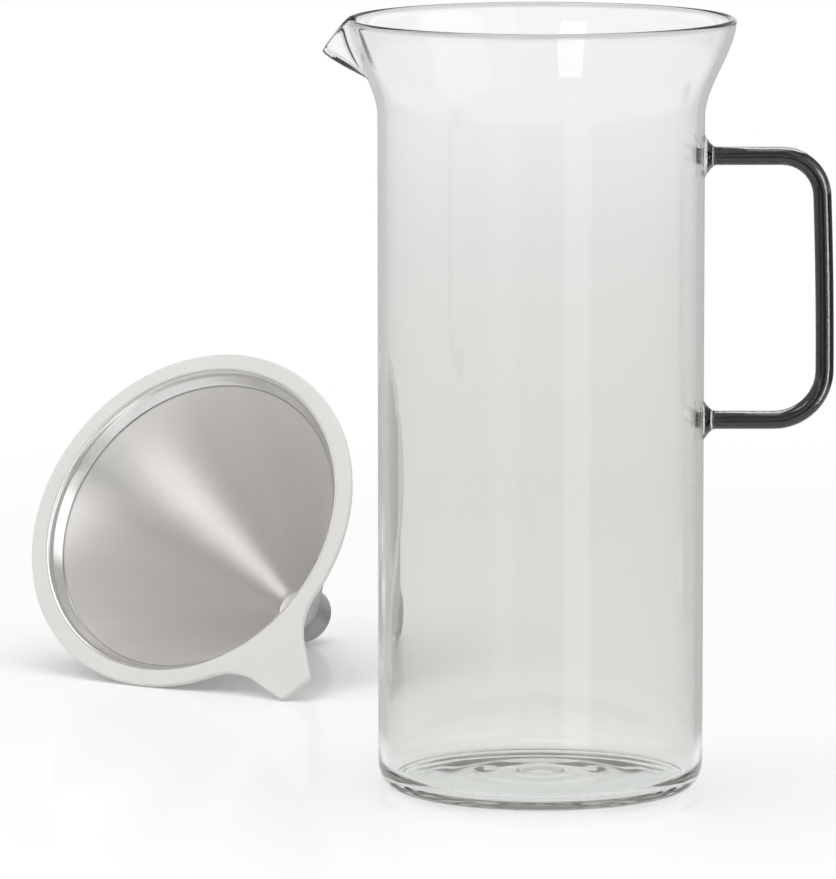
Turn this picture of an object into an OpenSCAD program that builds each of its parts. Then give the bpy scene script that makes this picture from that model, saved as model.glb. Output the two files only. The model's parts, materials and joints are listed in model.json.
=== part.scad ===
// Pour-over coffee maker: a flared glass carafe with a rod handle, and its loose cone filter
// Millimetres, +Z up. The origin is on the carafe's axis, on the table it stands on.
// The spout points to -X and the handle to +X. The filter lies beside the carafe.

/* [Carafe] */
// Outer diameter of the straight wall
body_d = 100; // [92:1:108]
// Height of the rim above the table
body_h = 237; // [225:1:250]
// Outer diameter of the flared rim
rim_d = 119; // [114:1:124]
// Thickness of the glass wall
wall = 2.3; // [1.8:0.1:2.8]
// Height at which the wall starts to flare
flare_z = 207; // [200:1:210]
// Thickness of the glass under the liquid
base_t = 3.4; // [2.8:0.2:4.4]
// Height of the rounded bottom corner
base_round = 8; // [6:0.5:10]
// How far the bottom corner runs in to the foot
base_in = 5; // [4:0.5:8]
// Height of the hollow under the base
punt_h = 1.6; // [0.8:0.2:2.4]

/* [Spout] */
// How far the rim is drawn outwards at the tip
spout_reach = 7.4; // [5:0.1:9]
// How far the rim is drawn down at the tip
spout_drop = 10; // [7:0.2:12]
// Half width of the drawn stretch of the rim
spout_w = 4.3; // [3.5:0.1:6]
// Height at which the spout grows out of the flare
spout_z = 218.5; // [214:0.5:222]
// How much thinner the glass is at the tip
spout_thin = 0.7; // [0:0.1:1]

/* [Handle] */
// Diameter of the glass rod
rod_d = 5.6; // [5:0.1:7]
// Distance of the grip's centreline from the carafe's axis, at its foot
grip_x = 87; // [80:0.5:92]
// Radius of the grip's slight outward bow
grip_bow = 1400; // [800:100:3000]
// Height of the upper arm
upper_z = 194.7; // [185:0.1:198]
// Height of the lower arm
lower_z = 113.3; // [100:0.1:125]
// Bend radius of the upper corner
upper_bend = 12.5; // [10:0.5:16]
// Bend radius of the lower corner
lower_bend = 15.5; // [12:0.5:20]
// Radius of the upper weld where it meets the wall
upper_weld_r = 6.6; // [5:0.2:8]
// Radius of the lower weld where it meets the wall
lower_weld_r = 6; // [5:0.2:8]
// Length of the welds
weld_l = 3.2; // [2.6:0.1:6]

/* [Collar] */
// Outer diameter of the collar
collar_d = 120.6; // [118:0.2:124]
// Diameter of the opening
opening_d = 107.8; // [104:0.2:109]
// Thickness of the collar and its tab
collar_t = 2; // [1.6:0.1:2.6]
// Bevel round the opening
collar_bevel = 1; // [0.6:0.1:1.2]
// Distance from the axis to the end of the tab
tab_reach = 81.3; // [78:0.1:86]
// Width of the tab at its end
tab_w = 12.6; // [10:0.2:16]
// Radius of the hollow sides where the tab grows out of the ring
tab_fillet = 20; // [18:1:22]

/* [Cones] */
// Depth of the steel hoop below the collar's face
hoop_h = 5; // [4:0.5:7]
// Inner diameter at the crease where the mesh starts
crease_d = 102.6; // [100:0.2:104]
// Inner diameter at the foot of the mesh
mesh_foot_d = 15; // [12:0.5:18]
// Depth of the foot of the mesh
mesh_depth = 77; // [72:1:80]
// Thickness of the mesh
mesh_t = 0.4; // [0.3:0.1:0.6]
// Gap between the mesh and the support cone
cone_gap = 1.2; // [0.8:0.1:1.6]
// Thickness of the support cone
support_t = 0.5; // [0.4:0.1:0.8]
// Outer diameter of the tip cap
cap_d = 20; // [19:0.5:23]
// Depth of the cap's end below the collar's face
cap_depth = 88.5; // [85:0.5:92]
// Outer radius of the cap's bottom corner
cap_round = 3.5; // [2.5:0.5:4.5]

/* [Filter at rest] */
// Place of the collar's middle along X
filter_x = -114.2; // [-130:0.5:-105]
// Place of the collar's middle along Y
filter_y = 197; // [150:1:240]
// Turn of the filter's axis from the front towards -X
filter_turn = 30.7; // [0:0.5:45]

/* [Hidden] */
$fn = 96;

body_r = body_d / 2;
rim_r = rim_d / 2;
inner_r = body_r - wall;
foot_r = body_r - base_in;
punt_r = foot_r - 8;
floor_round = base_in;
fuse_z = flare_z - 2;
rod_r = rod_d / 2;

collar_r = collar_d / 2;
opening_r = opening_d / 2;
crease_r = crease_d / 2;
mesh_foot_r = mesh_foot_d / 2;
cap_r = cap_d / 2;
collar_edge = 0.6;
cap_t = 0.8;
fit_gap = 0.05;
cone_top = hoop_h + 0.6;
lip_depth = 4;
lip_r = opening_r + 2.2;
groove_r = lip_r - 0.8;
groove_depth = 1.6;
groove_h = 1;

// The mesh runs straight from the crease to its foot, and the support cone lies outside it
cone_slope = (crease_r - mesh_foot_r) / (mesh_depth - hoop_h);
cone_widen = sqrt(1 + cone_slope * cone_slope);
function mesh_r(depth) = crease_r - cone_slope * (depth - hoop_h);
function support_r(depth) = mesh_r(depth) + (mesh_t + cone_gap) * cone_widen;

// The filter lies on the collar's lower edge and the cap's corner, both rounded edges
edge_r = collar_r - collar_edge;
edge_depth = collar_t - collar_edge;
corner_r = cap_r - cap_round;
corner_depth = cap_depth - cap_round;
rest_a = edge_r - corner_r;
rest_b = corner_depth - edge_depth;
lean = acos((cap_round - collar_edge) / norm([rest_a, rest_b])) - atan2(rest_b, rest_a);
filter_z = edge_r * cos(lean) + edge_depth * sin(lean) + collar_edge;

// The tab turns until its lower corner meets the table too
tab_half = tab_w / 2;
tab_corner = 1.2;
tab_drop = (filter_z - collar_t * sin(lean)) / cos(lean) - tab_corner;
tab_x = tab_reach - tab_corner;
tab_y = tab_half - tab_corner;
tab_turn = asin(tab_drop / norm([tab_x, tab_y])) - atan2(tab_y, tab_x);

function ease(t) = t * t * (3 - 2 * t);
function flare_t(z) = min(1, max(0, (z - flare_z) / (body_h - flare_z)));
function flare_r(z) = body_r + (rim_r - body_r) * ease(flare_t(z)) + swell(z);

// The drawn stretch overlaps the turned wall by a hair on both faces, so they fuse cleanly
seam_step = 0.1;
function swell(z) = seam_step * (1 - flare_t(z));

// Points of an arc about [cx, cy], from one angle to another
function arc(cx, cy, r, from, to, steps) = [
    for (i = [0:steps]) let (a = from + (to - from) * i / steps) [cx + r * cos(a), cy + r * sin(a)]
];

// Straight wall, base and punt of the carafe, turned about its axis
module straight_glass() {
    inner_floor = base_t + floor_round;
    rotate_extrude()
        polygon(concat(
            [[0, base_t], [0, punt_h]],
            [for (i = [1:7]) [punt_r * i / 8, punt_h * cos(90 * i / 8)]],
            [[punt_r, 0]],
            [for (i = [0:8]) let (a = -90 + 90 * i / 8)
                [foot_r + base_in * cos(a), base_round * (1 + sin(a))]],
            [[body_r, fuse_z], [inner_r, fuse_z]],
            arc(inner_r - floor_round, inner_floor, floor_round, 0, -90, 6)
        ));
}

// The rim drawn out and down: most on the spout's middle line, nothing at the spout's foot
spout_narrow = 0.92;
function bell(side, half_w) = exp(-pow(side / half_w, 2));
function drawn(z, a) = cos(a) < 0 ? max(0, (z - spout_z) / (body_h - spout_z)) : 0;

// Point of the wall's outer face at the angle a, on the ring that starts at the height z
function outer(z, a) =
    let (r = flare_r(z), side = r * sin(a), out = spout_reach * drawn(z, a) * bell(side, spout_w))
    [r * cos(a) - out, side, z - spout_drop * drawn(z, a) * bell(side, spout_w * spout_narrow)];

// How the outer face runs there, as a unit step [away from the axis, up]
function course(z, a) =
    let (
        step = outer(z + 0.05, a) - outer(z - 0.05, a),
        out = step[0] * cos(a) + step[1] * sin(a)
    )
    [out, step[2]] / norm([out, step[2]]);

// Point of the glass at the angle a: deep and past count in wall thicknesses, square to the
// outer face and along it
function glass(z, a, deep, past) =
    let (
        c = course(z, a),
        thin = spout_thin * drawn(z, a) * bell(flare_r(z) * sin(a), spout_w),
        t = wall + 2 * swell(z) - thin,
        out = t * (past * c[0] - deep * c[1])
    )
    outer(z, a) + [out * cos(a), out * sin(a), t * (past * c[1] + deep * c[0])];

// The wall's section from the straight part up: outer face, rounded rim, inner face.
// Each point is [height, deep, past].
lip_levels = 10;
bead_steps = 4;
bead_z = body_h - wall / 2;
function level(i) = fuse_z + (bead_z - fuse_z) * i / lip_levels;
lip_section = concat(
    [for (i = [0:lip_levels]) [level(i), 0, 0]],
    [for (i = [1:bead_steps - 1]) let (a = 180 * i / bead_steps)
        [bead_z, (1 - cos(a)) / 2, sin(a) / 2]],
    [for (i = [lip_levels:-1:0]) [level(i), 1, 0]]
);

// Angles round the rim, closer together where the spout is drawn
spout_steps = 9;
spout_step = 1.6;
ring_steps = 60;
ring_step = (360 - 2 * spout_steps * spout_step) / ring_steps;
lip_angles = concat(
    [for (i = [-spout_steps:spout_steps]) 180 + i * spout_step],
    [for (i = [1:ring_steps - 1]) 180 + spout_steps * spout_step + i * ring_step]
);

// Flared mouth with its spout
module flared_lip() {
    rows = len(lip_section);
    cols = len(lip_angles);
    points = [for (a = lip_angles, p = lip_section) glass(p[0], a, p[1], p[2])];
    function at(c, r) = (c % cols) * rows + (r % rows);
    faces = [for (c = [0:cols - 1], r = [0:rows - 1], half = [0, 1])
        half == 0
            ? [at(c, r), at(c, r + 1), at(c + 1, r + 1)]
            : [at(c, r), at(c + 1, r + 1), at(c + 1, r)]];
    polyhedron(points, faces);
}

module carafe_body() {
    color([0.86, 0.88, 0.86, 0.5])
        union() {
            straight_glass();
            flared_lip();
        }
}

// The rod's centreline: arm, corner, bowed grip, corner, arm. Each station is
// [x, z, turn], where turn is the direction in the XZ plane that points out of the loop.
corner_steps = 10;
grip_steps = 6;
arm_x = body_r + weld_l;
grip_low = lower_z + lower_bend;
grip_rise = upper_z - upper_bend - grip_low;
grip_lean = asin(grip_rise / (grip_bow - upper_bend));
grip_centre = [grip_x - grip_bow, grip_low];
upper_corner = grip_centre + [(grip_bow - upper_bend) * cos(grip_lean), grip_rise];
lower_corner = [grip_x - lower_bend, grip_low];
function bent(centre, r, from, to, steps, first) = [
    for (i = [first:steps]) let (a = from + (to - from) * i / steps)
        [centre[0] + r * cos(a), centre[1] + r * sin(a), a]
];
rod_stations = concat(
    [[arm_x, upper_z, 90]],
    bent(upper_corner, upper_bend, 90, grip_lean, corner_steps, 0),
    bent(grip_centre, grip_bow, grip_lean, 0, grip_steps, 1),
    bent(lower_corner, lower_bend, 0, -90, corner_steps, 1),
    [[arm_x, lower_z, -90]]
);

// Smoked glass rod, swept round its centreline
module handle_rod() {
    sides = 28;
    ends = len(rod_stations);
    points = [for (s = rod_stations, i = [0:sides - 1])
        let (a = 360 * i / sides, out = rod_r * cos(a))
        [s[0] + out * cos(s[2]), rod_r * sin(a), s[1] + out * sin(s[2])]];
    function at(ring, i) = ring * sides + i % sides;
    tube = [for (ring = [0:ends - 2], i = [0:sides - 1])
        [at(ring, i), at(ring, i + 1), at(ring + 1, i + 1), at(ring + 1, i)]];
    color([0.24, 0.25, 0.25])
        polyhedron(points, concat(
            tube,
            [[for (i = [sides - 1:-1:0]) at(0, i)], [for (i = [0:sides - 1]) at(ends - 1, i)]]
        ));
}

// Trumpet of clear glass between the rod and the wall, ending on the wall's curve
module weld(z, r) {
    into_wall = 1;
    steps = 8;
    color([0.55, 0.57, 0.56, 0.7])
        difference() {
            translate([body_r - into_wall, 0, z]) rotate([0, 90, 0])
                rotate_extrude()
                    polygon(concat(
                        [[0, 0], [r, 0]],
                        [for (i = [0:steps]) let (t = i / steps)
                            [rod_r + (r - rod_r) * pow(1 - t, 1.6), into_wall + weld_l * t]],
                        [[0, into_wall + weld_l]]
                    ));
            cylinder(r = body_r, h = body_h, $fn = 360);
        }
}

module upper_weld() { weld(upper_z, upper_weld_r); }
module lower_weld() { weld(lower_z, lower_weld_r); }

// Places a piece of the filter, drawn with its axis on +Z and its face at z = 0, at rest on the table
module at_rest() {
    translate([filter_x, filter_y, filter_z]) rotate([90 - lean, 0, -filter_turn]) children();
}

// Half outline of the tab: hollow side, straight taper, rounded corner
module tab_outline() {
    grow = 21.5;
    taper = 18.3;
    centre = (collar_r + tab_fillet) * [cos(grow), sin(grow)];
    side = concat(
        arc(centre[0], centre[1], tab_fillet, 180 + grow, 270 - taper, 8),
        arc(tab_x, tab_y, tab_corner, 90 - taper, 0, 4)
    );
    polygon(concat(
        [[opening_r + 3, 0]],
        side,
        [for (i = [len(side) - 1:-1:0]) [side[i][0], -side[i][1]]]
    ));
}

// White ring with its tab, and a lip underneath that centres it in the carafe's mouth
module collar() {
    lip_foot = lip_depth + 0.6;
    color([0.9, 0.9, 0.87])
        at_rest() difference() {
            union() {
                rotate_extrude() polygon(concat(
                    [[opening_r, -collar_bevel], [opening_r + collar_bevel, 0]],
                    arc(edge_r, -collar_edge, collar_edge, 90, 0, 3),
                    arc(edge_r, -edge_depth, collar_edge, 0, -90, 3),
                    [[lip_r, -collar_t], [lip_r, -lip_depth], [lip_r - 1, -lip_foot],
                     [opening_r, -lip_foot]]
                ));
                rotate([0, 0, -tab_turn]) translate([0, 0, -collar_t])
                    linear_extrude(collar_t) tab_outline();
            }
            // Groove that the hoop's flange snaps into
            translate([0, 0, -groove_depth - groove_h]) cylinder(r = groove_r, h = groove_h);
            translate([0, 0, -lip_foot - 1]) cylinder(r = opening_r, h = lip_foot + 2);
        }
}

// Polished hoop: a flange in the collar's groove, and a tapered wall down to the crease.
// Its foot holds the tops of both cones.
module rim_hoop() {
    top_r = opening_r - fit_gap;
    flange_r = groove_r - fit_gap;
    foot_in = mesh_r(cone_top);
    foot_out = support_r(cone_top) + support_t * cone_widen;
    color([0.8, 0.8, 0.8])
        at_rest() rotate_extrude() polygon([
            [top_r - 0.4, -collar_bevel], [top_r, -collar_bevel],
            [top_r, -groove_depth - fit_gap], [flange_r, -groove_depth - fit_gap],
            [flange_r, -groove_depth - groove_h + fit_gap], [top_r, -groove_depth - groove_h + fit_gap],
            [top_r, -lip_depth], [foot_out, -hoop_h], [foot_out, -cone_top],
            [foot_in, -cone_top], [crease_r, -hoop_h], [top_r - 0.9, -collar_bevel - 0.6]
        ]);
}

// A thin cone shell between two depths, with its inner face at the radii given
module cone_shell(r_top, depth_top, r_foot, depth_foot, t) {
    rotate_extrude() polygon([
        [r_top, -depth_top], [r_foot, -depth_foot],
        [r_foot + t * cone_widen, -depth_foot], [r_top + t * cone_widen, -depth_top]
    ]);
}

module mesh_cone() {
    color([0.66, 0.65, 0.63])
        at_rest() cone_shell(mesh_r(cone_top), cone_top, mesh_r(mesh_depth), mesh_depth, mesh_t);
}

module support_cone() {
    color([0.6, 0.6, 0.6])
        at_rest() cone_shell(
            support_r(cone_top), cone_top, support_r(mesh_depth), mesh_depth, support_t
        );
}

// Small cup inside: the mesh's foot stands on its rim
module tip_cup() {
    rim_out = mesh_foot_r + 1;
    floor_r = mesh_foot_r - 1.2;
    cup_depth = 2.4;
    cup_t = 0.6;
    color([0.7, 0.7, 0.69])
        at_rest() translate([0, 0, -mesh_depth]) rotate_extrude() polygon([
            [rim_out, 0], [mesh_foot_r, 0], [floor_r, -cup_depth], [0, -cup_depth],
            [0, -cup_depth - cup_t], [floor_r + cup_t, -cup_depth - cup_t], [rim_out, -cup_t]
        ]);
}

// Outer cap: a rounded steel cup that the foot of the support cone stands on
module tip_cap() {
    wide_r = support_r(mesh_depth) + support_t * cone_widen;
    mouth_r = mesh_foot_r + 1.1;
    shoulder = 1;
    color([0.82, 0.82, 0.82])
        at_rest() rotate_extrude() polygon(concat(
            [[mouth_r, -mesh_depth], [wide_r, -mesh_depth]],
            arc(corner_r, -corner_depth, cap_round, 0, -90, 6),
            [[0, -cap_depth], [0, -cap_depth + cap_t]],
            arc(corner_r, -corner_depth, cap_round - cap_t, -90, 0, 4),
            [[cap_r - cap_t, -mesh_depth - shoulder], [mouth_r, -mesh_depth - shoulder]]
        ));
}

carafe_body();
handle_rod();
upper_weld();
lower_weld();
collar();
rim_hoop();
mesh_cone();
support_cone();
tip_cup();
tip_cap();
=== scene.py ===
import json
import math

import bpy
from mathutils import Matrix, Vector


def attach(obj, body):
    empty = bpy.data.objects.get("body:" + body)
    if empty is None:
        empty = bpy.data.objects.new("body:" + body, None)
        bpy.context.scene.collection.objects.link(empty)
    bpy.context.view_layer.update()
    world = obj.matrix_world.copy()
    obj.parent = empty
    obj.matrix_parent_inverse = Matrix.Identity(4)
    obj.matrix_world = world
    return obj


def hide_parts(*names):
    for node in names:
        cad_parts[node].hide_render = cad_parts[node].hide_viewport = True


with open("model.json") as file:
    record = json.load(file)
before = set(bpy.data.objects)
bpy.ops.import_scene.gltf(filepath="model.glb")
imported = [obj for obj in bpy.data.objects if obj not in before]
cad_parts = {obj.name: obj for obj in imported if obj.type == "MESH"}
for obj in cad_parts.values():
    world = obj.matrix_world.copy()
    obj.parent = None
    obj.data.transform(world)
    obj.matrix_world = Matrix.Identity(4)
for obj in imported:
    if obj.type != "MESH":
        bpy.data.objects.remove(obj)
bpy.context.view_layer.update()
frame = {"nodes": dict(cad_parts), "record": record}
print("frame loaded:", len(frame["nodes"]), "CAD nodes")

mm = 0.001
near = 0.01  # mm, how close a place counts as the one looked for
merge = 0.004  # mm, how close two vertices become one

# Camera at the photograph's angle. Its place is in mm, its angles in degrees, the end of its view in metres.
view = {
    "place": (-37.7, -2238.7, 427.58), "pitch": 8.142, "roll": -0.05, "lens": 301.6, "sensor": 36, "end": 60,
}


def setCamera():
    lens = bpy.data.cameras.new("viewCamera")
    lens.lens = view["lens"]
    lens.sensor_width = view["sensor"]
    lens.clip_end = view["end"]
    camera = bpy.data.objects.new("viewCamera", lens)
    bpy.context.scene.collection.objects.link(camera)
    camera.location = Vector(view["place"]) * mm
    aim = Matrix.Rotation(math.radians(90 - view["pitch"]), 3, "X")
    roll = Matrix.Rotation(math.radians(view["roll"]), 3, "Z")
    camera.rotation_euler = (aim @ roll).to_euler()
    bpy.context.scene.camera = camera


setCamera()
print("camera set")


# Shared modelling steps
def deselectAll():
    if bpy.context.object and bpy.context.object.mode != "OBJECT":
        bpy.ops.object.mode_set(mode="OBJECT")
    bpy.ops.object.select_all(action="DESELECT")


def takeUp(piece):
    deselectAll()
    piece.select_set(True)
    bpy.context.view_layer.objects.active = piece


def editWhole():
    bpy.ops.object.mode_set(mode="EDIT")
    bpy.ops.mesh.select_mode(type="VERT")
    bpy.ops.mesh.select_all(action="SELECT")


def selectPlace(piece, wanted):  # stays in edit mode with the wanted vertices and their edges selected
    bpy.ops.object.mode_set(mode="EDIT")
    bpy.ops.mesh.select_mode(type="VERT")
    bpy.ops.mesh.select_all(action="DESELECT")
    bpy.ops.object.mode_set(mode="OBJECT")
    for vertex in piece.data.vertices:
        vertex.select = wanted(vertex.co / mm)
    bpy.ops.object.mode_set(mode="EDIT")


def closeUp(piece, angle=40):  # merges seams and poles, turns faces outwards, smooths all but sharp edges
    editWhole()
    bpy.ops.mesh.remove_doubles(threshold=merge * mm)
    bpy.ops.mesh.select_all(action="SELECT")
    bpy.ops.mesh.normals_make_consistent(inside=False)
    bpy.ops.object.mode_set(mode="OBJECT")
    takeUp(piece)
    bpy.ops.object.shade_smooth_by_angle(angle=math.radians(angle))


def drawOutline(name, points, closed=False):
    deselectAll()
    bpy.ops.mesh.primitive_circle_add(vertices=len(points), radius=mm)
    piece = bpy.context.object
    piece.name = piece.data.name = name
    for vertex, point in zip(piece.data.vertices, points):
        vertex.co = Vector(point) * mm
    if not closed:
        last = len(points) - 1
        bpy.ops.object.mode_set(mode="EDIT")
        bpy.ops.mesh.select_mode(type="EDGE")
        bpy.ops.mesh.select_all(action="DESELECT")
        bpy.ops.object.mode_set(mode="OBJECT")
        for edge in piece.data.edges:
            edge.select = set(edge.vertices) == {0, last}
        bpy.ops.object.mode_set(mode="EDIT")
        bpy.ops.mesh.delete(type="EDGE")
        bpy.ops.object.mode_set(mode="OBJECT")
    return piece


def spinOutline(piece, sweeps):  # each sweep is (degrees, steps)
    editWhole()
    for degrees, steps in sweeps:
        bpy.ops.mesh.spin(steps=steps, angle=math.radians(degrees), center=(0, 0, 0), axis=(0, 0, 1))
    bpy.ops.object.mode_set(mode="OBJECT")


def turnPiece(name, outline, steps, closed=False, angle=40):  # outline points are (radius, height)
    piece = drawOutline(name, [(r, 0, z) for r, z in outline], closed)
    spinOutline(piece, [(360, steps)])
    closeUp(piece, angle)
    return piece


def arcPoints(cx, cy, rx, ry, start, end, steps):  # start and end in degrees
    angles = [math.radians(start + (end - start) * i / steps) for i in range(steps + 1)]
    return [(cx + rx * math.cos(a), cy + ry * math.sin(a)) for a in angles]


def between(a, b, steps):
    return [a + (b - a) * i / steps for i in range(steps + 1)]


# Shared node steps, for materials and for the world
def newFinish(name, values):
    finish = bpy.data.materials.new(name)
    finish.use_nodes = True
    shader = finish.node_tree.nodes["Principled BSDF"]
    for socket, value in values.items():
        shader.inputs[socket].default_value = value
    return finish


def addNode(finish, kind, values=None, **settings):
    node = finish.node_tree.nodes.new(kind)
    for name, value in settings.items():
        setattr(node, name, value)
    for socket, value in (values or {}).items():
        node.inputs[socket].default_value = value
    return node


def join(finish, source, output, target, socket):
    finish.node_tree.links.new(source.outputs[output], target.inputs[socket])


def ramp(finish, stops):
    node = addNode(finish, "ShaderNodeValToRGB")
    marks = node.color_ramp.elements
    while len(marks) < len(stops):
        marks.new(0.5)
    for mark, (place, tone) in zip(marks, stops):
        mark.position = place
        mark.color = (*tone, 1) if isinstance(tone, tuple) else (tone, tone, tone, 1)
    return node


def larger(finish, first, second):  # each is (node, output)
    node = addNode(finish, "ShaderNodeMath", operation="MAXIMUM")
    join(finish, *first, node, 0)
    join(finish, *second, node, 1)
    return node


def mirroredOnce(finish, path):  # 0 for what is seen straight, 1 once the ray has been mirrored
    node = addNode(finish, "ShaderNodeMath", {1: 1}, operation="MINIMUM")
    join(finish, path, "Glossy Depth", node, 0)
    return node


# Carafe: one fused piece of clear glass, wall, base, flared lip, spout and both welds
carafe = {
    "bodyR": 50, "rimR": 59.5, "height": 237, "wall": 2.3, "flareZ": 207,
    "floorZ": 3.4, "cornerIn": 5, "cornerH": 8, "innerCorner": 5, "puntH": 1.6, "puntR": 37, "footIn": 2,
    "ripple": 0.16, "ripplePitch": 10.5,
    "spoutReach": 7.4, "spoutDrop": 10, "spoutHalf": 4.3, "spoutNarrow": 0.92, "spoutZ": 218.5,
    "spoutThin": 0.7,
    "puntRows": 24, "cornerRows": 16, "wallRows": 46, "fineZ": 205, "fineRows": 40, "beadRows": 12,
    "innerClear": 1, "innerRows": 12, "floorRows": 40, "probe": 0.05, "smooth": 60,
    "sweeps": [(160, 84), (40, 80), (160, 84)],  # (degrees, steps), closer together at the spout
}


def flareR(z):  # an S-curve from the straight wall to the rim
    t = min(1, max(0, (z - carafe["flareZ"]) / (carafe["height"] - carafe["flareZ"])))
    return carafe["bodyR"] + (carafe["rimR"] - carafe["bodyR"]) * t * t * (3 - 2 * t)


def drawnShare(z, angle):  # how far a place has been drawn into the spout, 0 to 1
    rise = (z - carafe["spoutZ"]) / (carafe["height"] - carafe["spoutZ"])
    return max(0, rise) if math.cos(angle) < 0 else 0


def outerFace(z, angle):
    r = flareR(z)
    side = r * math.sin(angle)
    share = drawnShare(z, angle)
    out = carafe["spoutReach"] * share * math.exp(-(side / carafe["spoutHalf"]) ** 2)
    down = carafe["spoutDrop"] * share * math.exp(-(side / carafe["spoutHalf"] / carafe["spoutNarrow"]) ** 2)
    return Vector((r * math.cos(angle) - out, side, z - down))


def glassPoint(z, angle, deep, past):  # deep and past are wall thicknesses, square to the face and along it
    away = Vector((math.cos(angle), math.sin(angle), 0))
    step = outerFace(z + carafe["probe"], angle) - outerFace(z - carafe["probe"], angle)
    course = Vector((step.dot(away), step.z)).normalized()
    side = flareR(z) * math.sin(angle)
    thin = carafe["spoutThin"] * drawnShare(z, angle) * math.exp(-(side / carafe["spoutHalf"]) ** 2)
    t = carafe["wall"] - thin
    point = outerFace(z, angle) + away * t * (past * course.x - deep * course.y)
    point.z += t * (past * course.y + deep * course.x)
    return point


def makeCarafe():
    bodyR, wall, floorZ, inner = carafe["bodyR"], carafe["wall"], carafe["floorZ"], carafe["innerCorner"]
    cornerIn, cornerH, fineZ = carafe["cornerIn"], carafe["cornerH"], carafe["fineZ"]
    puntR, puntH, rows = carafe["puntR"], carafe["puntH"], carafe["puntRows"]
    footR = bodyR - cornerIn
    beadZ = carafe["height"] - wall / 2
    floorR = bodyR - wall - inner

    def floorHeight(r):
        fade = 1 - (r / floorR) ** 2
        return floorZ + carafe["ripple"] * fade * math.cos(2 * math.pi * r / carafe["ripplePitch"])

    base = [(puntR * i / rows, puntH * math.cos(math.pi / 2 * i / rows)) for i in range(rows + 1)]
    base += [(footR - carafe["footIn"], 0)]
    base += arcPoints(footR, cornerH, cornerIn, cornerH, -90, 0, carafe["cornerRows"])
    levels = between(cornerH, fineZ, carafe["wallRows"])[1:] + between(fineZ, beadZ, carafe["fineRows"])[1:]
    turns = between(0, math.pi, carafe["beadRows"])[1:-1]
    section = [(z, 0, 0) for z in levels]
    section += [(beadZ, (1 - math.cos(a)) / 2, math.sin(a) / 2) for a in turns]
    section += [(z, 1, 0) for z in reversed(levels) if z > floorZ + inner + carafe["innerClear"]]
    floor = arcPoints(floorR, floorZ + inner, inner, inner, 0, -90, carafe["innerRows"])
    floor += [(r, floorHeight(r)) for r in between(floorR, 0, carafe["floorRows"])[1:]]

    points = base + [(0, 0)] * len(section) + floor
    piece = drawOutline("carafeGlass", [(r, 0, z) for r, z in points])
    mark = piece.data.attributes.new("section", "FLOAT_VECTOR", "POINT")
    for i, place in enumerate(section):
        mark.data[len(base) + i].vector = place
        piece.data.vertices[len(base) + i].co = glassPoint(place[0], 0, place[1], place[2]) * mm
    spinOutline(piece, carafe["sweeps"])
    mark = piece.data.attributes["section"]
    for vertex in piece.data.vertices:
        z, deep, past = mark.data[vertex.index].vector
        if z > 0:
            angle = math.atan2(vertex.co.y, vertex.co.x)
            vertex.co = glassPoint(z, angle, deep, past) * mm
    piece.data.attributes.remove(mark)
    closeUp(piece, carafe["smooth"])
    return piece


weld = {
    "into": 1, "length": 3.2, "rodR": 2.8, "skin": 0.12, "curve": 1.6, "rows": 16, "sides": 48,
    "places": [(194.7, 6.6), (113.3, 6.0)],  # (height, radius at the wall)
}


def fuseWelds(glass):
    into, length, end = weld["into"], weld["length"], weld["rodR"] + weld["skin"]
    lay = Matrix.Rotation(math.radians(90), 4, "Y")
    for height, wide in weld["places"]:
        flare = [(end + (wide - end) * (1 - t) ** weld["curve"], into + length * t)
                 for t in between(0, 1, weld["rows"])]
        trumpet = turnPiece("trumpet", [(0, 0), (wide, 0)] + flare + [(0, into + length)], weld["sides"])
        place = Vector((carafe["bodyR"] - into, 0, height)) * mm
        trumpet.data.transform(Matrix.Translation(place) @ lay)
        takeUp(glass)
        union = glass.modifiers.new("weld", "BOOLEAN")
        union.operation = "UNION"
        union.solver = "EXACT"
        union.object = trumpet
        bpy.ops.object.modifier_apply(modifier="weld")
        bpy.data.objects.remove(trumpet)
    closeUp(glass, carafe["smooth"])


carafeGlass = makeCarafe()
fuseWelds(carafeGlass)
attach(carafeGlass, "carafe")
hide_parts("carafe_body", "upper_weld", "lower_weld")
print("carafe glass:", len(carafeGlass.data.polygons), "faces")

# Handle: a smoked rod, bent at two corners, with a slight bow in the grip
handle = {
    "rodR": 2.8, "sides": 36, "armX": 53.2, "gripX": 87, "bow": 1400, "upperZ": 194.7, "lowerZ": 113.3,
    "upperBend": 12.5, "lowerBend": 15.5, "cornerSteps": 16, "gripSteps": 12, "smooth": 60,
    "nose": [(0.45, 0.93), (0.4, 0.8), (0.25, 0.6)],  # (step into the weld, share of the radius kept)
}


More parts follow.
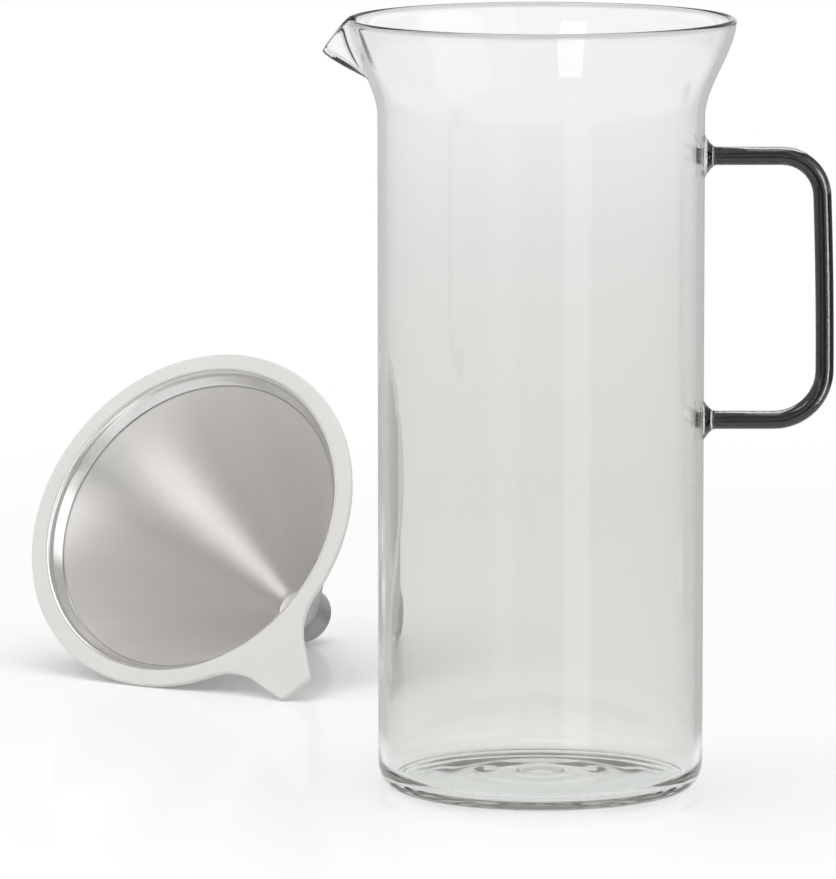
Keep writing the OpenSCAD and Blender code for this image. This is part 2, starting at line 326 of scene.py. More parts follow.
def makeHandle():
    rodR, armX = handle["rodR"], handle["armX"]
    gripLow = handle["lowerZ"] + handle["lowerBend"]
    rise = handle["upperZ"] - handle["upperBend"] - gripLow
    lean = math.asin(rise / (handle["bow"] - handle["upperBend"]))
    centre = Vector((handle["gripX"] - handle["bow"], 0, gripLow))
    upper = centre + Vector(((handle["bow"] - handle["upperBend"]) * math.cos(lean), 0, rise))
    lower = Vector((handle["gripX"] - handle["lowerBend"], 0, gripLow))

    deselectAll()
    bpy.ops.mesh.primitive_circle_add(vertices=handle["sides"], radius=rodR * mm,
                                      rotation=(0, math.radians(90), 0),
                                      location=(armX * mm, 0, handle["upperZ"] * mm))
    rod = bpy.context.object
    rod.name = rod.data.name = "handleRod"
    bpy.ops.object.transform_apply(location=True, rotation=True, scale=True)
    editWhole()
    bpy.ops.mesh.extrude_edges_move(TRANSFORM_OT_translate={"value": ((upper.x - armX) * mm, 0, 0)})
    turns = [(upper, math.pi / 2 - lean, handle["cornerSteps"]), (centre, lean, handle["gripSteps"]),
             (lower, math.pi / 2, handle["cornerSteps"])]
    for middle, angle, steps in turns:
        bpy.ops.mesh.spin(steps=steps, angle=-angle, center=middle * mm, axis=(0, 1, 0))
    bpy.ops.mesh.extrude_edges_move(TRANSFORM_OT_translate={"value": ((armX - lower.x) * mm, 0, 0)})
    for height in (handle["upperZ"], handle["lowerZ"]):
        selectPlace(rod, lambda p: p.x < armX + near and abs(p.z - height) < 2 * rodR)
        x = armX
        for step, keep in handle["nose"]:
            x -= step
            bpy.ops.mesh.extrude_edges_move(TRANSFORM_OT_translate={"value": (-step * mm, 0, 0)})
            bpy.ops.transform.resize(value=(1, keep, keep), center_override=(x * mm, 0, height * mm))
        bpy.ops.mesh.edge_face_add()
    bpy.ops.object.mode_set(mode="OBJECT")
    closeUp(rod, handle["smooth"])
    return rod


handleRod = makeHandle()
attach(handleRod, "carafe")
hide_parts("handle_rod")
print("handle rod:", len(handleRod.data.polygons), "faces")

# Loose filter. Its pieces are made with the axis on Z and the collar's face at z = 0, then laid down.
rest = {"place": (-114.2, 197, 52.5998), "lean": 30.794, "turn": 30.7, "tabTurn": 43.51}


def layDown(piece):
    turn = Matrix.Rotation(math.radians(-rest["turn"]), 4, "Z")
    tip = Matrix.Rotation(math.radians(90 - rest["lean"]), 4, "X")
    piece.data.transform(Matrix.Translation(Vector(rest["place"]) * mm) @ turn @ tip)
    piece.data.update()
    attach(piece, "filter")


collar = {
    "outerR": 60.3, "openingR": 53.9, "bevel": 1.05, "thick": 2, "edge": 0.6, "edgeRows": 5,
    "ease": (0.15, 0.06),  # how far the bevel's corners are eased, along the face and across the bevel
    "lipR": 56.1, "lipDepth": 4, "lipFoot": 4.6, "lipTaper": 1, "footEase": 0.3, "seamR": 58,
    "tabReach": 81.3, "tabHalf": 6.3, "tabCorner": 1.2, "fillet": 20,
    "grow": 21.5, "taper": 18.3,  # degrees, where the tab leaves the ring and how its sides close in
    "steps": 192, "ringRows": 168, "filletRows": 20, "cornerRows": 8, "smooth": 30,
}


def collarOutline(inset):  # ring with its tab, drawn inwards by the inset
    grow, taper, corner = collar["grow"], collar["taper"], collar["tabCorner"]
    reach = collar["outerR"] + collar["fillet"]
    middle = (reach * math.cos(math.radians(grow)), reach * math.sin(math.radians(grow)))
    hollow = collar["fillet"] + inset
    side = arcPoints(*middle, hollow, hollow, 180 + grow, 270 - taper, collar["filletRows"])
    side += arcPoints(collar["tabReach"] - corner, collar["tabHalf"] - corner, corner - inset, corner - inset,
                      90 - taper, 0, collar["cornerRows"])
    ringR = collar["outerR"] - inset
    ring = arcPoints(0, 0, ringR, ringR, grow, 360 - grow, collar["ringRows"])[1:-1]
    return side[::-1] + ring + [(x, -y) for x, y in side]


def makeCollar():
    thick, bevel, edge, opening = collar["thick"], collar["bevel"], collar["edge"], collar["openingR"]
    seamR, lipR, foot, footEase = collar["seamR"], collar["lipR"], collar["lipFoot"], collar["footEase"]
    along, across = collar["ease"]
    ring = [(seamR, 0), (opening + bevel + along, 0), (opening + bevel, -across), (opening + across, -bevel),
            (opening, -bevel - along), (opening, footEase - foot), (opening + footEase, -foot),
            (lipR - collar["lipTaper"], -foot), (lipR, -collar["lipDepth"]), (lipR, -thick), (seamR, -thick)]
    piece = drawOutline("collarRing", [(r, 0, z) for r, z in ring])
    spinOutline(piece, [(360, collar["steps"])])
    editWhole()
    bpy.ops.mesh.remove_doubles(threshold=merge * mm)

    turns = between(0, math.pi / 2, collar["edgeRows"])
    profile = [(edge * (1 - math.sin(a)), edge * (math.cos(a) - 1)) for a in turns]
    profile += [(inset, -thick - z) for inset, z in reversed(profile)]
    rims = []
    for inset, z in profile:
        rims.append(drawOutline("rim", [(x, y, z) for x, y in collarOutline(inset)], closed=True))
    takeUp(rims[0])
    for rim in rims:
        rim.select_set(True)
    bpy.ops.object.join()
    wall = bpy.context.object
    editWhole()
    bpy.ops.mesh.bridge_edge_loops()
    takeUp(piece)
    wall.select_set(True)
    bpy.ops.object.join()
    for height in (0, -thick):
        selectPlace(piece, lambda p: abs(p.z - height) < near and p.xy.length > seamR - near)
        bpy.ops.mesh.fill()
    closeUp(piece, collar["smooth"])
    piece.modifiers.new("flatFaces", "WEIGHTED_NORMAL").keep_sharp = True
    bpy.ops.object.modifier_apply(modifier="flatFaces")
    piece.data.transform(Matrix.Rotation(math.radians(-rest["tabTurn"]), 4, "Z"))
    layDown(piece)
    return piece


collarRing = makeCollar()
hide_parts("collar")
print("collar:", len(collarRing.data.polygons), "faces")

# Steel hoop, both cones, the cup inside and the cap outside. Points are (radius, depth).
cone = {
    "creaseR": 51.3, "creaseDepth": 5, "topDepth": 5.6, "footDepth": 77, "slope": 0.60833,
    "meshT": 0.4, "gap": 1.2, "sheetT": 0.5, "steps": 192, "rows": 36,
}
cone["widen"] = math.hypot(1, cone["slope"])
ringDepth = 100  # mm of depth that the ring map lays on one step of v


def meshR(depth):
    return cone["creaseR"] - cone["slope"] * (depth - cone["creaseDepth"])


def sheetR(depth):
    return meshR(depth) + (cone["meshT"] + cone["gap"]) * cone["widen"]


def mapRound(piece, name, lay):  # UV map of a turned piece before it is laid down; lay takes turn and depth
    grid = piece.data.uv_layers.new(name=name)
    for face in piece.data.polygons:
        middle = math.atan2(face.center.y, face.center.x)
        for loop in face.loop_indices:
            p = piece.data.vertices[piece.data.loops[loop].vertex_index].co / mm
            turn = math.atan2(p.y, p.x)
            turn += 2 * math.pi * round((middle - turn) / (2 * math.pi))
            grid.data[loop].uv = lay(turn, -p.z)


def ringMap(piece):  # u round the axis, v down it
    mapRound(piece, "ring", lambda turn, depth: (turn / (2 * math.pi) + 0.5, depth / ringDepth))


def flatMap(piece):  # the cone laid out flat, in mm
    k = cone["slope"] / cone["widen"]
    apex = cone["creaseDepth"] + cone["creaseR"] / cone["slope"]

    def lay(turn, depth):
        out = (apex - depth) * cone["widen"]
        return out * math.cos(turn * k), out * math.sin(turn * k)

    mapRound(piece, "flat", lay)


def turnFilterPiece(name, outline, steps, angle=40):
    piece = turnPiece(name, [(r, -depth) for r, depth in outline], steps, closed=True, angle=angle)
    ringMap(piece)
    return piece


hoop = {
    "topR": 53.85, "flangeR": 55.2, "flange": (2.55, 1.65), "skirt": (5.0, 4.0),  # both pairs are depths
    "over": [(53.85, 1.07), (54.5, 0.42), (54.54, 0.36), (54.47, 0.31)],  # rolled over the opening's bevel
    "roll": [(54.3, 0.34), (54.1, 0.43), (53.93, 0.58), (53.8, 0.78), (53.68, 1.02), (53.56, 1.28),
             (53.44, 1.58), (53.36, 1.88), (53.3, 2.15)],
    "band": [(53.15, 2.45), (52.88, 2.85), (52.5, 3.45), (52.1, 4.05), (51.72, 4.62), (51.4, 5.08)],
    "edge": [(51.2, 5.35), (51.06, 5.5)], "lap": 0.01, "steps": 192, "smooth": 50,
}


def makeHoop():
    top, flange, end = hoop["topR"], hoop["flangeR"], cone["topDepth"]
    below, above = hoop["flange"]
    skirtFoot, skirtTop = hoop["skirt"]
    outR = sheetR(end) + cone["sheetT"] * cone["widen"]
    outline = hoop["over"] + hoop["roll"] + hoop["band"] + hoop["edge"] + [(meshR(end) - hoop["lap"], end)]
    outline += [(outR, end), (outR, skirtFoot), (top, skirtTop)]
    outline += [(top, below), (flange, below), (flange, above), (top, above)]
    piece = turnFilterPiece("rimHoop", outline, hoop["steps"], hoop["smooth"])
    layDown(piece)
    return piece


def makeCone(name, radius, thick):
    depths = between(cone["topDepth"], cone["footDepth"], cone["rows"])
    inside = [(radius(d), d) for d in depths]
    outside = [(radius(d) + thick * cone["widen"], d) for d in reversed(depths)]
    piece = turnFilterPiece(name, inside + outside, cone["steps"])
    flatMap(piece)
    layDown(piece)
    return piece


cup = {
    "mouthR": 7.5, "depth": 2.4, "thick": 0.6, "draw": 1.2, "flange": 1, "flat": 0.85, "edge": 0.12,
    "knee": 0.35, "bend": 0.4, "bendRows": 5, "crown": 0.02, "under": 0.2, "steps": 96,
}


def makeCup():
    foot, r, thick, bend, edge = cone["footDepth"], cup["mouthR"], cup["thick"], cup["bend"], cup["edge"]
    floor, end = r - cup["draw"], foot + cup["depth"]
    outline = [(r + cup["flange"], foot + edge), (r + cup["flat"], foot), (r + edge, foot), (r, foot + edge),
               (floor + cup["knee"], end - cup["knee"])]
    outline += arcPoints(floor, end - bend, bend, bend, 0, 90, cup["bendRows"])
    outline += [(floor / 2, end + cup["crown"]), (0, end), (0, end + thick), (floor, end + thick),
                (floor + thick, end + thick - cup["under"]), (r + cup["flange"], foot + thick)]
    piece = turnFilterPiece("tipCup", outline, cup["steps"])
    layDown(piece)
    return piece


cap = {
    "r": 10, "end": 88.5, "thick": 0.8, "bend": 3.5, "bendRows": (14, 8), "mouthGap": 1.1, "mouthEdge": 0.2,
    "hemEdge": 0.25, "hem": (0.05, 0.9),  # how far the hem draws in, and at what depth under the cone's foot
    "neck": [(0.15, 1.6), (0, 2.2)],  # (out from the side, depth under the cone's foot)
    "dish": [(1, 0), (1.6, 0.18)], "dishDeep": 0.25,  # (in from the rounding, up from the end)
    "inside": (1.4, 1), "steps": 96,  # depths under the cone's foot at the side and at the mouth
}


def makeCap():
    foot, r, end, bend, thick = cone["footDepth"], cap["r"], cap["end"], cap["bend"], cap["thick"]
    mouth, mouthEdge, hemEdge = cup["mouthR"] + cap["mouthGap"], cap["mouthEdge"], cap["hemEdge"]
    wide = sheetR(foot) + cone["sheetT"] * cone["widen"]
    hemIn, hemDepth = cap["hem"]
    sideDepth, mouthDepth = cap["inside"]
    outerRows, innerRows = cap["bendRows"]
    outline = [(mouth, foot + mouthEdge), (mouth + mouthEdge, foot), (wide - hemEdge, foot),
               (wide, foot + hemEdge), (wide - hemIn, foot + hemDepth)]
    outline += [(r + out, foot + depth) for out, depth in cap["neck"]] + [(r, end - bend)]
    outline += arcPoints(r - bend, end - bend, bend, bend, 0, 90, outerRows)[1:]
    outline += [(r - bend - inwards, end - up) for inwards, up in cap["dish"]]
    outline += [(0, end - cap["dishDeep"]), (0, end - thick)]
    outline += arcPoints(r - bend, end - bend, bend - thick, bend - thick, 90, 0, innerRows)
    outline += [(r - thick, foot + sideDepth), (mouth, foot + mouthDepth)]
    piece = turnFilterPiece("tipCap", outline, cap["steps"])
    layDown(piece)
    return piece


rimHoop = makeHoop()
meshCone = makeCone("meshCone", meshR, cone["meshT"])
supportCone = makeCone("supportCone", sheetR, cone["sheetT"])
tipCup = makeCup()
tipCap = makeCap()
stands = [(rimHoop, "rim_hoop", "polished_steel"), (meshCone, "mesh_cone", "steel_mesh"),
          (supportCone, "support_cone", "perforated_steel"), (tipCup, "tip_cup", "steel_mesh"),
          (tipCap, "tip_cap", "polished_steel")]
for piece, node, slot in stands:
    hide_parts(node)
    print(piece.name + ":", len(piece.data.polygons), "faces")


# Materials. Patterns are in metres, or in mm on the flat map. Relief is the depth of a bump, in mm.
def addRelief(finish, pattern, output, look):
    bump = addNode(finish, "ShaderNodeBump", {"Strength": look["strength"], "Distance": look["relief"] * mm})
    join(finish, pattern, output, bump, "Height")
    join(finish, bump, "Normal", finish.node_tree.nodes["Principled BSDF"], "Normal")


def addStreaks(finish, source, output, look):  # noise drawn out along one direction
    stretch = addNode(finish, "ShaderNodeMapping", {"Scale": look["stretch"]})
    lines = addNode(finish, "ShaderNodeTexNoise", {"Scale": 1.0, "Detail": look["detail"],
                                                   "Roughness": look["grit"]})
    join(finish, source, output, stretch, "Vector")
    join(finish, stretch, "Vector", lines, "Vector")
    return lines


def addDye(finish, look):  # colour that deepens with the thickness of the glass
    dye = addNode(finish, "ShaderNodeVolumeAbsorption", {"Color": (*look["dye"], 1),
                                                         "Density": look["density"]})
    join(finish, dye, "Volume", finish.node_tree.nodes["Material Output"], "Volume")


def addShine(finish, pattern, look):  # roughness that varies with the pattern
    shine = addNode(finish, "ShaderNodeMapRange", {"To Min": look["rough"][0], "To Max": look["rough"][1]})
    join(finish, pattern, "Fac", shine, "Value")
    return shine


glassLook = {
    "ior": 1.474, "dye": (0.5, 0.475, 0.445), "density": 13,
    "stretch": (30, 30, 6), "detail": 1.0, "grit": 0.4, "strength": 0.35, "relief": 0.012,
    "tintWithPaintedLight": [  # (share of the height, tone): grey glass, paler at the foot as painted light, lighter towards the top, and a painted dark line along the rim
        (0.03, (0.945, 0.965, 0.95)), (0.07, (0.872, 0.874, 0.856)), (0.45, (0.872, 0.876, 0.856)),
        (0.7, (0.895, 0.9, 0.888)), (0.85, (0.945, 0.95, 0.945)), (0.992, (0.965, 0.967, 0.963)),
        (0.9965, (0.6, 0.61, 0.61)),
    ],
}


def clearGlass():
    finish = newFinish("clearGlass", {"Roughness": 0.0, "IOR": glassLook["ior"], "Transmission Weight": 1.0})
    shader = finish.node_tree.nodes["Principled BSDF"]
    place = addNode(finish, "ShaderNodeTexCoord")
    split = addNode(finish, "ShaderNodeSeparateXYZ")
    height = addNode(finish, "ShaderNodeMapRange", {"From Max": carafe["height"] * mm})
    # glass tone by height, with painted light at the foot and a painted dark line on the rim
    tintWithPaintedLight = ramp(finish, glassLook["tintWithPaintedLight"])
    join(finish, place, "Object", split, "Vector")
    join(finish, split, "Z", height, "Value")
    join(finish, height, "Result", tintWithPaintedLight, "Fac")
    join(finish, tintWithPaintedLight, "Color", shader, "Base Color")
    waver = addStreaks(finish, place, "Object", glassLook)
    addRelief(finish, waver, "Fac", glassLook)
    addDye(finish, glassLook)
    return finish


rodLook = {
    "tone": (0.93, 0.94, 0.93), "ior": 1.72, "dye": (0.1, 0.11, 0.105), "density": 1100,
    "stretch": (60, 400, 60), "detail": 2.0, "grit": 0.5, "strength": 0.3, "relief": 0.02,
}


def smokedGlass():
    finish = newFinish("smokedGlass", {"Base Color": (*rodLook["tone"], 1), "Roughness": 0.0,
                                       "IOR": rodLook["ior"], "Transmission Weight": 1.0})
    place = addNode(finish, "ShaderNodeTexCoord")
    lines = addStreaks(finish, place, "Object", rodLook)
    addRelief(finish, lines, "Fac", rodLook)
    addDye(finish, rodLook)
    return finish


plasticLook = {
    "ior": 1.5, "scatter": 0.08, "scatterReach": 0.002, "grain": 2600, "cloud": 45, "rough": (0.34, 0.46),
    "tones": [(0.3, (0.68, 0.677, 0.65)), (0.7, (0.71, 0.707, 0.682))], "strength": 0.25, "relief": 0.02,
}


def whitePlastic():
    finish = newFinish("whitePlastic", {"IOR": plasticLook["ior"],
                                        "Subsurface Weight": plasticLook["scatter"],
                                        "Subsurface Scale": plasticLook["scatterReach"]})
    shader = finish.node_tree.nodes["Principled BSDF"]
    place = addNode(finish, "ShaderNodeTexCoord")
    grain = addNode(finish, "ShaderNodeTexNoise", {"Scale": plasticLook["grain"], "Detail": 2.0})
    cloud = addNode(finish, "ShaderNodeTexNoise", {"Scale": plasticLook["cloud"], "Detail": 3.0})
    tone = ramp(finish, plasticLook["tones"])
    for pattern in (grain, cloud):
        join(finish, place, "Object", pattern, "Vector")
    join(finish, cloud, "Fac", tone, "Fac")
    join(finish, tone, "Color", shader, "Base Color")
    join(finish, addShine(finish, cloud, plasticLook), "Result", shader, "Roughness")
    addRelief(finish, grain, "Fac", plasticLook)
    return finish


def paintCreaseShade(finish, tone, start, end, low):  # painted shade: darkens a tone by depth on the ring map, in the crease where the hoop's band meets the mesh
    grid = addNode(finish, "ShaderNodeUVMap", uv_map="ring")
    split = addNode(finish, "ShaderNodeSeparateXYZ")
    depth = addNode(finish, "ShaderNodeMapRange", {"From Min": start / ringDepth, "From Max": end / ringDepth,
                                                   "To Min": low, "To Max": 1.0},
                    interpolation_type="SMOOTHSTEP")
    shaded = addNode(finish, "ShaderNodeVectorMath", operation="SCALE")
    join(finish, grid, "UV", split, "Vector")
    join(finish, split, "Y", depth, "Value")
    join(finish, tone, "Color", shaded, 0)
    join(finish, depth, "Result", shaded, "Scale")
    join(finish, shaded, "Vector", finish.node_tree.nodes["Principled BSDF"], "Base Color")
    return split


polishLook = {
    "tones": [(0.3, (0.78, 0.78, 0.765)), (0.7, (0.84, 0.84, 0.83))], "cloud": 60, "rough": (0.14, 0.24),
    "creaseShade": (5.6, 5.15, 0.4),  # painted shade in the crease: (depth where it is darkest, depth where it ends, share of the tone left)
    "capFrom": 20, "capTo": 60, "capRough": 0.22, "capMetal": 0.5,  # depths over which it turns satin
    "strength": 0.2, "relief": 0.02,
}


def polishedSteel():  # bright on the hoop, satin on the cap at the cone's foot
    finish = newFinish("polishedSteel", {"Metallic": 1.0})
    shader = finish.node_tree.nodes["Principled BSDF"]
    place = addNode(finish, "ShaderNodeTexCoord")
    cloud = addNode(finish, "ShaderNodeTexNoise", {"Scale": polishLook["cloud"], "Detail": 4.0})
    tone = ramp(finish, polishLook["tones"])
    span = {"From Min": polishLook["capFrom"] / ringDepth, "From Max": polishLook["capTo"] / ringDepth}
    satin = addNode(finish, "ShaderNodeMapRange", {**span, "To Max": polishLook["capRough"]})
    metal = addNode(finish, "ShaderNodeMapRange", {**span, "To Min": 1.0, "To Max": polishLook["capMetal"]})
    rough = addNode(finish, "ShaderNodeMath", operation="ADD")
    join(finish, place, "Object", cloud, "Vector")
    join(finish, cloud, "Fac", tone, "Fac")
    # painted shade on the hoop's lower edge, in the crease over the mesh
    depth = paintCreaseShade(finish, tone, *polishLook["creaseShade"])
    join(finish, depth, "Y", satin, "Value")
    join(finish, depth, "Y", metal, "Value")
    join(finish, metal, "Result", shader, "Metallic")
    join(finish, addShine(finish, cloud, polishLook), "Result", rough, 0)
    join(finish, satin, "Result", rough, 1)
    join(finish, rough, 0, shader, "Roughness")
    addRelief(finish, cloud, "Fac", polishLook)
    return finish


meshLook = {
    # the last entry on the next line is painted shade along the mesh's top edge, in the crease under the
    # hoop's band (depth where it is darkest, depth where it ends, share of the tone left)
    "tone": (0.765, 0.746, 0.73), "low": 0.97, "rough": (0.22, 0.28), "creaseShade": (5.6, 6.1, 0.5),
    "metallic": 0.62,  # the fine weave scatters part of the light
    "stretch": (60, 1.2, 1), "detail": 3.0, "grit": 0.6, "strength": 0.3, "relief": 0.003,
}


def steelMesh():
    finish = newFinish("steelMesh", {"Metallic": meshLook["metallic"]})
    shader = finish.node_tree.nodes["Principled BSDF"]
    grid = addNode(finish, "ShaderNodeUVMap", uv_map="ring")
    lines = addStreaks(finish, grid, "UV", meshLook)
    dim = tuple(c * meshLook["low"] for c in meshLook["tone"])
    tone = ramp(finish, [(0.3, dim), (0.7, meshLook["tone"])])
    join(finish, lines, "Fac", tone, "Fac")
    # painted shade along the mesh's top edge, in the crease under the hoop's band
    paintCreaseShade(finish, tone, *meshLook["creaseShade"])
    join(finish, addShine(finish, lines, meshLook), "Result", shader, "Roughness")
    addRelief(finish, lines, "Fac", meshLook)
    return finish


sheetLook = {
    "pitch": 1.25, "hole": [(0.3, 0.0), (0.36, 1.0)],  # (share of the pitch, 0 in a hole, 1 on the sheet)
    # the holes are not cut: their near-black tone is painted shade of the gap behind the sheet
    "tones": [(0.0, (0.1, 0.1, 0.1)), (1.0, (0.74, 0.74, 0.73))], "rough": (0.6, 0.3), "metallic": 0.65,
    "strength": 0.6, "relief": 0.15,
}


def perforatedSteel():
    finish = newFinish("perforatedSteel", {"Metallic": sheetLook["metallic"]})
    shader = finish.node_tree.nodes["Principled BSDF"]
    grid = addNode(finish, "ShaderNodeUVMap", uv_map="flat")
    turn = addNode(finish, "ShaderNodeMapping", {"Rotation": (0, 0, math.radians(45))})
    holes = addNode(finish, "ShaderNodeTexVoronoi", {"Scale": 1 / sheetLook["pitch"], "Randomness": 0.0},
                    voronoi_dimensions="2D")
    cut = ramp(finish, sheetLook["hole"])
    # painted shade in the holes, the sheet's own tone between them
    tone = ramp(finish, sheetLook["tones"])
    rough = addNode(finish, "ShaderNodeMapRange", {"To Min": sheetLook["rough"][0],
                                                   "To Max": sheetLook["rough"][1]})
    join(finish, grid, "UV", turn, "Vector")
    join(finish, turn, "Vector", holes, "Vector")
    join(finish, holes, "Distance", cut, "Fac")
    join(finish, cut, "Color", tone, "Fac")
    join(finish, tone, "Color", shader, "Base Color")
    join(finish, cut, "Color", rough, "Value")
    join(finish, rough, "Result", shader, "Roughness")
    addRelief(finish, cut, "Color", sheetLook)
    return finish


finishes = {"clear_glass": clearGlass(), "smoked_glass": smokedGlass(), "white_plastic": whitePlastic(),
            "polished_steel": polishedSteel(), "steel_mesh": steelMesh(),
            "perforated_steel": perforatedSteel()}
wearers = [(carafeGlass, "clear_glass"), (handleRod, "smoked_glass"), (collarRing, "white_plastic")]
for piece, slot in wearers + [(piece, slot) for piece, node, slot in stands]:
    piece.data.materials.clear()
    piece.data.materials.append(finishes[slot])
for name, node in frame["nodes"].items():
    slot = next(s["material_slot"] for s in frame["record"]["subparts"] if s["node"] == name)
    node.data.materials.clear()
    node.data.materials.append(finishes[slot])
carafeGlass.visible_shadow = False  # without caustics its shadow would be far too dark
print("materials given:", len(finishes))

# Studio: white glossy floor, pale world and soft lamps. Mirrored rays see a grey room with a few lights.
studio = {
    "floorR": 0.8, "floorSides": 96, "floorDrop": 0.05, "floorTone": 0.93, "floorRough": 0.1, "floorIor": 1.1,
    "floorGlow": 0.02, "floorFade": (0.45, 0.78), "mirrorShrink": 5, "worldLevel": 0.76,
    "mirror": [  # (height from straight down to straight up, level) of the room
        (0.0, 0.85), (0.3, 0.85), (0.38, 0.0), (0.47, 0.0), (0.5, 1.0), (0.55, 1.0), (0.6, 0.5), (0.7, 0.47),
        (0.78, 0.45), (1.0, 0.45),
    ],
    "mirrorTurn": (-0.17, 0.2, 0.0), "mirrorLow": 0.26,  # the room's least level, a little brighter one way
    "mirrorDeep": 0.85, "mirrorLate": (1, 5),  # level after many turns in the glass, and how many
    "cards": [((-27, 27), 16, 31, 1.4), ((-118, -2), 8, 16, 0.55)],  # ((bearing, height), core, edge, level)
    "strips": [(-65, 8, 12, 0.95)],  # (bearing, core, edge, level) of a tall light, in degrees as above
    "lamps": [  # (place, aim, width, height, watts), metres
        ((-1.05, -0.85, 1.5), (-0.1, 0.1, 0.1), 0.8, 0.9, 7),
        ((1.6, -0.5, 0.95), (0, 0, 0.12), 1.0, 1.2, 3),
        ((-0.1, 0.1, 1.7), (0, 0.05, 0), 1.4, 1.2, 8),
    ],
    "glassLamps": [  # this stands in for the first one on the carafe's glass
        ((-0.55, -1.15, 1.5), (-0.1, 0.1, 0.1), 0.5, 0.9, 4.4),
    ],
    "rodLamps": [  # these light the handle alone
        ((0.86, -0.63, 0.05), (0.087, 0, 0.15), 0.4, 1.2, 9),
        ((0.08, 0.67, 1.3), (0.07, 0, 0.19), 1.3, 0.9, 18),
    ],
    "bounces": 64,  # with fewer, the glass base turns black
}


def floorWhite():
    finish = newFinish("floorWhite", {"Base Color": (*[studio["floorTone"]] * 3, 1),
                                      "IOR": studio["floorIor"], "Roughness": studio["floorRough"],
                                      "Emission Color": (1, 1, 1, 1)})
    shader = finish.node_tree.nodes["Principled BSDF"]
    path = addNode(finish, "ShaderNodeLightPath")
    direct = larger(finish, (path, "Is Camera Ray"), (path, "Is Transmission Ray"))
    through = larger(finish, (direct, 0), (path, "Is Glossy Ray"))
    glow = addNode(finish, "ShaderNodeMath", {1: studio["floorGlow"]}, operation="MULTIPLY")
    join(finish, through, 0, glow, 0)
    join(finish, glow, 0, shader, "Emission Strength")

    place = addNode(finish, "ShaderNodeTexCoord")  # it fades out towards its edge, sooner in mirrored rays
    away = addNode(finish, "ShaderNodeVectorMath", operation="LENGTH")
    widen = addNode(finish, "ShaderNodeMath", {1: studio["mirrorShrink"], 2: 1}, operation="MULTIPLY_ADD")
    reach = addNode(finish, "ShaderNodeMath", operation="MULTIPLY")
    fade = addNode(finish, "ShaderNodeMapRange", {"From Min": studio["floorFade"][0],
                                                  "From Max": studio["floorFade"][1]},
                   interpolation_type="SMOOTHSTEP")
    clear = addNode(finish, "ShaderNodeBsdfTransparent")
    blend = addNode(finish, "ShaderNodeMixShader")
    join(finish, place, "Object", away, 0)
    join(finish, mirroredOnce(finish, path), 0, widen, 0)
    join(finish, away, "Value", reach, 0)
    join(finish, widen, 0, reach, 1)
    join(finish, reach, 0, fade, "Value")
    join(finish, fade, "Result", blend, 0)
    join(finish, shader, "BSDF", blend, 1)
    join(finish, clear, "BSDF", blend, 2)
    join(finish, blend, 0, finish.node_tree.nodes["Material Output"], "Surface")
    return finish


def layFloor():
    deselectAll()
    bpy.ops.mesh.primitive_circle_add(vertices=studio["floorSides"], radius=studio["floorR"],
                                      fill_type="NGON", location=(0, 0, -studio["floorDrop"] * mm))
    floor = bpy.context.object
    floor.name = "floor"
    floor.data.materials.append(floorWhite())


def roomBands(world, place):  # the room's level by height, and no lower than its least level
    split = addNode(world, "ShaderNodeSeparateXYZ")
    rise = addNode(world, "ShaderNodeMapRange", {"From Min": -1})
    bands = ramp(world, studio["mirror"])
    side = addNode(world, "ShaderNodeVectorMath", {1: studio["mirrorTurn"]}, operation="DOT_PRODUCT")
    low = addNode(world, "ShaderNodeMath", {1: studio["mirrorLow"]}, operation="ADD")
    join(world, place, "Generated", split, 0)
    join(world, split, "Z", rise, "Value")
    join(world, rise, "Result", bands, "Fac")
    join(world, place, "Generated", side, 0)
    join(world, side, "Value", low, 0)
    return larger(world, (low, 0), (bands, "Color"))


def addCard(world, around, direction, output, bearing, height, core, edge, level):  # a soft bright spot
    b, h = math.radians(bearing), math.radians(height)
    towards = (math.cos(b) * math.cos(h), math.sin(b) * math.cos(h), math.sin(h))
    facing = addNode(world, "ShaderNodeVectorMath", {1: towards}, operation="DOT_PRODUCT")
    card = addNode(world, "ShaderNodeMapRange", {"From Min": math.cos(math.radians(edge)),
                                                 "From Max": math.cos(math.radians(core)), "To Max": level},
                   interpolation_type="SMOOTHSTEP")
    join(world, direction, output, facing, 0)
    join(world, facing, "Value", card, "Value")
    return larger(world, (around, 0), (card, "Result"))


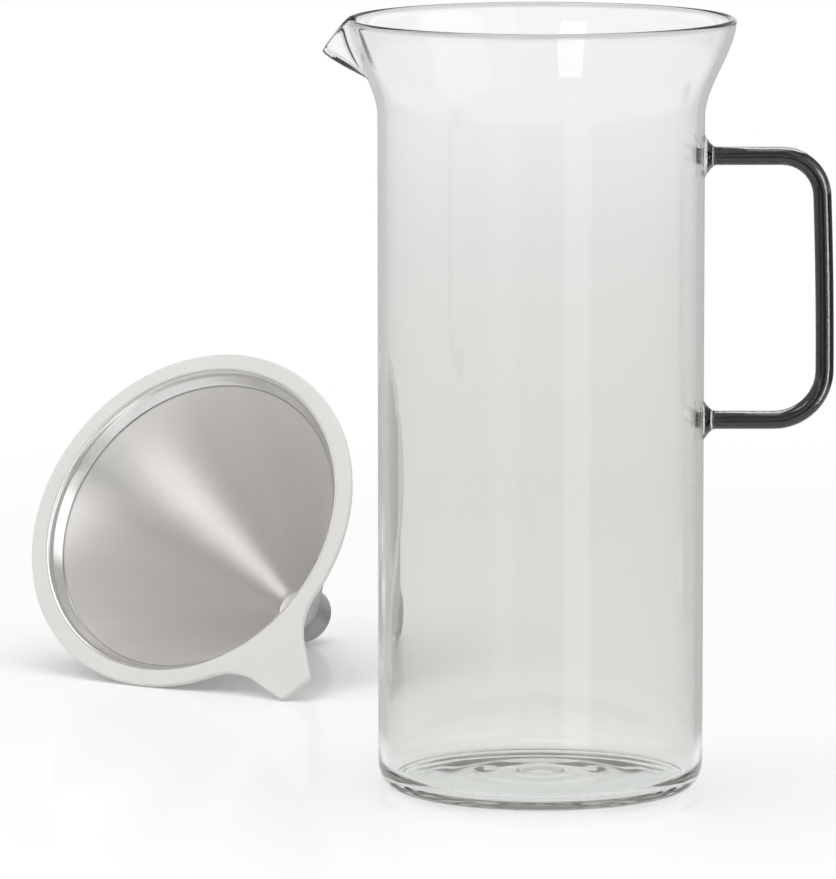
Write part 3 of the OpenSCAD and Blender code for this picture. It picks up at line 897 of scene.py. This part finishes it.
def setWorld():
    world = bpy.data.worlds.new("studioWorld")
    bpy.context.scene.world = world
    world.use_nodes = True
    place = addNode(world, "ShaderNodeTexCoord")
    path = addNode(world, "ShaderNodeLightPath")
    around = roomBands(world, place)
    for (bearing, height), *rest in studio["cards"]:
        around = addCard(world, around, place, "Generated", bearing, height, *rest)
    flat = addNode(world, "ShaderNodeVectorMath", {1: (1, 1, 0)}, operation="MULTIPLY")
    course = addNode(world, "ShaderNodeVectorMath", operation="NORMALIZE")
    join(world, place, "Generated", flat, 0)  # a strip goes by the direction as seen from above
    join(world, flat, 0, course, 0)
    for bearing, *rest in studio["strips"]:
        around = addCard(world, around, course, "Vector", bearing, 0, *rest)

    first, last = studio["mirrorLate"]  # light that has turned often comes from all over the room
    late = addNode(world, "ShaderNodeMapRange", {"From Min": first, "From Max": last,
                                                 "To Max": studio["mirrorDeep"]})
    join(world, path, "Ray Depth", late, "Value")
    lifted = larger(world, (around, 0), (late, "Result"))

    straight = larger(world, (path, "Is Camera Ray"), (path, "Is Transmission Ray"))
    seen = addNode(world, "ShaderNodeMix", {"A": studio["worldLevel"], "B": 1})
    mirrored = addNode(world, "ShaderNodeMix")
    background = world.node_tree.nodes["Background"]
    background.inputs["Color"].default_value = (1, 1, 1, 1)
    join(world, straight, 0, seen, "Factor")
    join(world, mirroredOnce(world, path), 0, mirrored, "Factor")
    join(world, seen, "Result", mirrored, "A")
    join(world, lifted, 0, mirrored, "B")
    join(world, mirrored, "Result", background, "Strength")
    world.cycles.sampling_method = "NONE"


def hangLamp(name, place, aim, width, height, watts):
    lamp = bpy.data.lights.new(name, "AREA")
    lamp.shape = "RECTANGLE"
    lamp.size, lamp.size_y = width, height
    lamp.energy = watts
    hung = bpy.data.objects.new(name, lamp)
    bpy.context.scene.collection.objects.link(hung)
    hung.location = place
    hung.rotation_euler = (Vector(aim) - Vector(place)).to_track_quat("-Z", "Y").to_euler()
    hung.visible_camera = False
    hung.visible_transmission = False
    return hung


def hangLamps():
    soft = [hangLamp(f"softLamp{i + 1}", *lamp) for i, lamp in enumerate(studio["lamps"])]
    soft[1].visible_glossy = False
    unlit = bpy.data.collections.new("unlitGlass")  # the first lamp lights everything but the carafe's glass
    unlit.objects.link(carafeGlass)
    unlit.collection_objects[0].light_linking.link_state = "EXCLUDE"
    soft[0].light_linking.receiver_collection = unlit
    for name, piece in (("glass", carafeGlass), ("rod", handleRod)):
        lit = bpy.data.collections.new(name + "Lit")
        lit.objects.link(piece)
        for i, lamp in enumerate(studio[name + "Lamps"]):
            hangLamp(f"{name}Lamp{i + 1}", *lamp).light_linking.receiver_collection = lit


layFloor()
setWorld()
hangLamps()
scene = bpy.context.scene
scene.view_settings.view_transform = "Standard"
scene.cycles.max_bounces = studio["bounces"]
scene.cycles.transmission_bounces = scene.cycles.glossy_bounces = studio["bounces"]
print("studio set")
